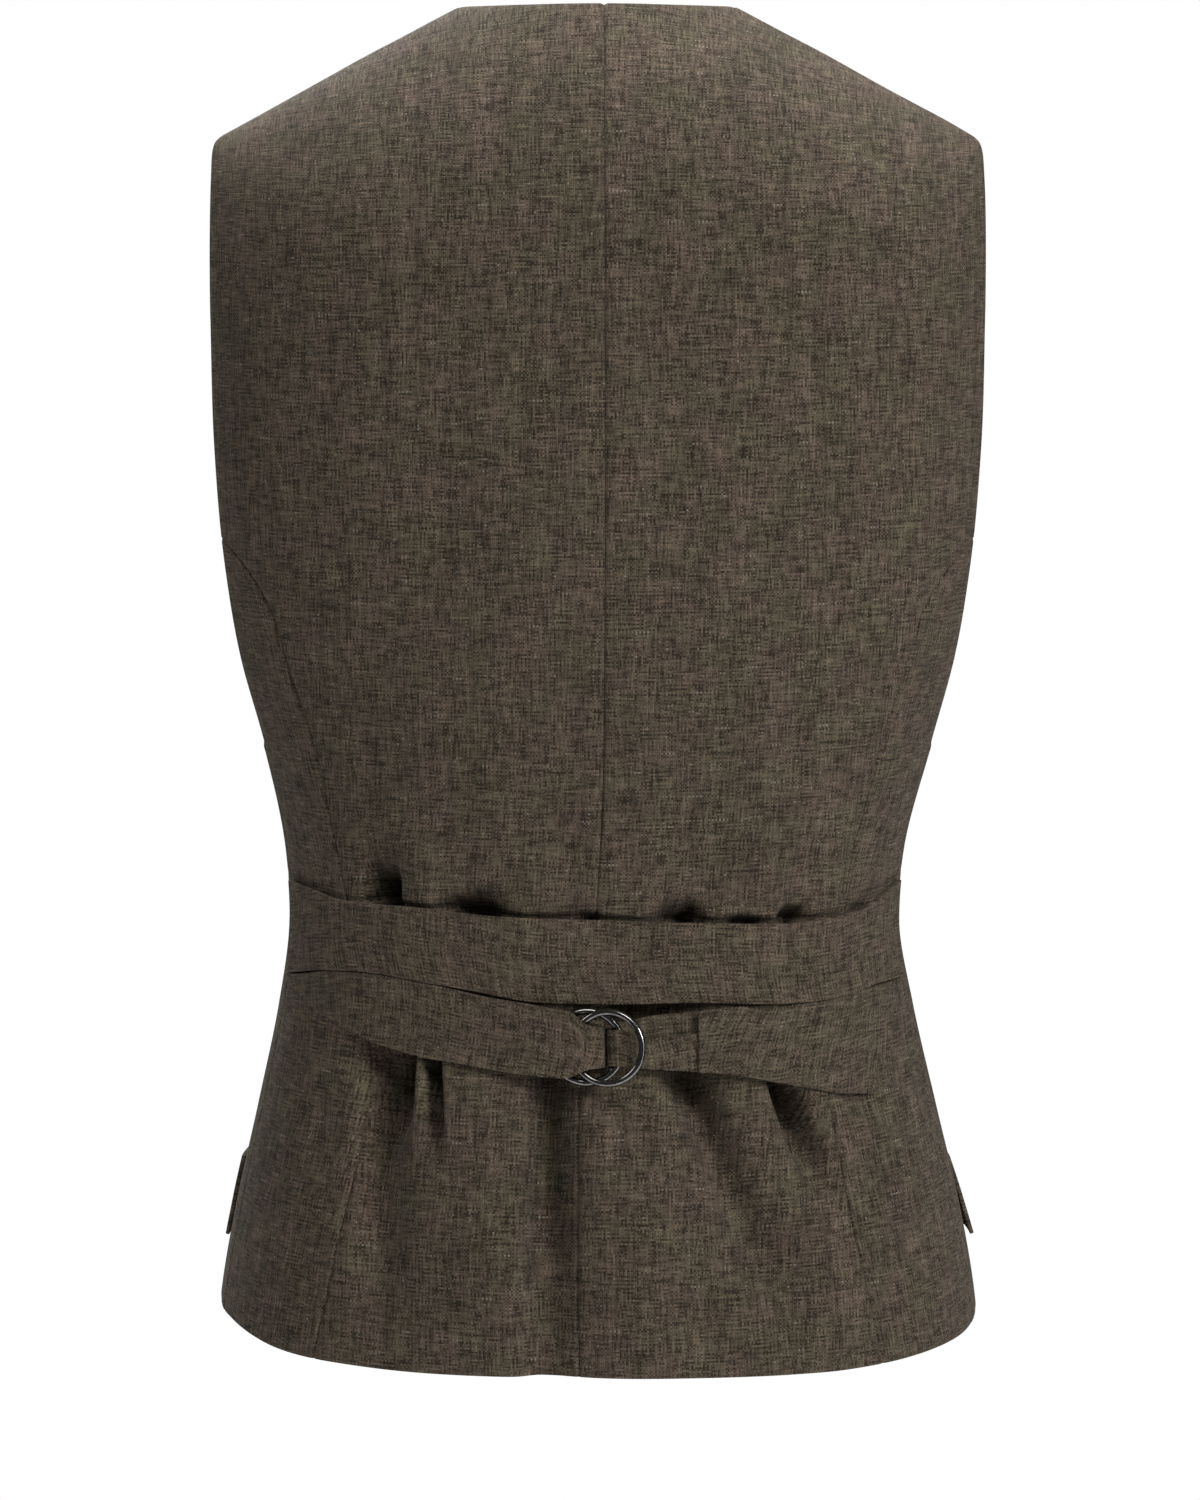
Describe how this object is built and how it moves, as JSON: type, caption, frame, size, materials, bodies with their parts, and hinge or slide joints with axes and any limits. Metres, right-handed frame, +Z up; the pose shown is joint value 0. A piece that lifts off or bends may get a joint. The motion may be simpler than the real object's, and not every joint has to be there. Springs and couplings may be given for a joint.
{
  "type": "linen waistcoat",
  "caption": "Sleeveless linen waistcoat in worn, hollow form, with a V neck, pointed front hem and a ring-fastened half belt over a gathered back.",
  "frame": {"origin": "midway between the middles of the two shoulder seams, where the wearer's shoulders carry it", "axes": "+Z up, the wearer faces -Y, +X to the wearer's left"},
  "size_m": [0.3349, 0.2667, 0.5961],
  "materials": {
    "linen": "dark brown-grey plain weave linen with lighter slubs, matt",
    "ring_metal": "dark gunmetal plating, polished",
    "button_horn": "dark brown horn, half gloss"
  },
  "bodies": {
    "root": {"back_left": "linen", "back_right": "linen", "side_back_left": "linen", "side_back_right": "linen", "front_left": "linen", "front_right": "linen", "back_band": "linen", "strap_left": "linen", "strap_right": "linen", "strap_tongue": "linen", "pocket_flap_left": "linen", "pocket_flap_right": "linen", "ring_lower": "ring_metal", "ring_upper": "ring_metal", "button_1": "button_horn", "button_2": "button_horn", "button_3": "button_horn", "button_4": "button_horn"}
  },
  "joints": []
}
